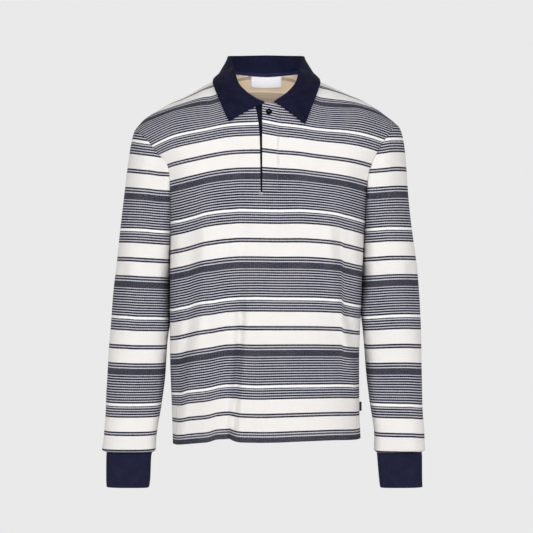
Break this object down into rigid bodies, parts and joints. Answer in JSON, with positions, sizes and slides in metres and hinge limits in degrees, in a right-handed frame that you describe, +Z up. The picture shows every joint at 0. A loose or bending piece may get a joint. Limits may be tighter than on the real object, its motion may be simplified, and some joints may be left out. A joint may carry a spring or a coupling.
{
  "type": "long-sleeved polo shirt",
  "caption": "Long-sleeved striped knit polo shirt in its worn hollow form, with a folded collar, half placket and ribbed cuffs.",
  "frame": {"origin": "middle of the neck base, level with the shoulder seams at the neck, where the wearer's shoulders carry the shirt", "axes": "+Z up, the front faces -Y, +X is the wearer's left"},
  "size_m": [0.6004, 0.238, 0.8105],
  "materials": {
    "stripe": "matt striped cotton jersey in navy, grey and off-white",
    "navy": "matt navy flat knit",
    "rib": "matt navy rib knit",
    "label": "smooth woven satin, bare",
    "button": "polished dark navy",
    "tab": "folded woven ribbon, bare"
  },
  "bodies": {
    "root": {"front": "stripe", "back": "stripe", "sleeve_right": "stripe", "sleeve_left": "stripe", "cuff_right": "rib", "cuff_left": "rib", "collar": "navy", "neck_tape": "navy", "placket_top": "stripe", "placket_under": "navy", "button": "button", "neck_label": "label", "side_tab": "tab"}
  },
  "joints": []
}
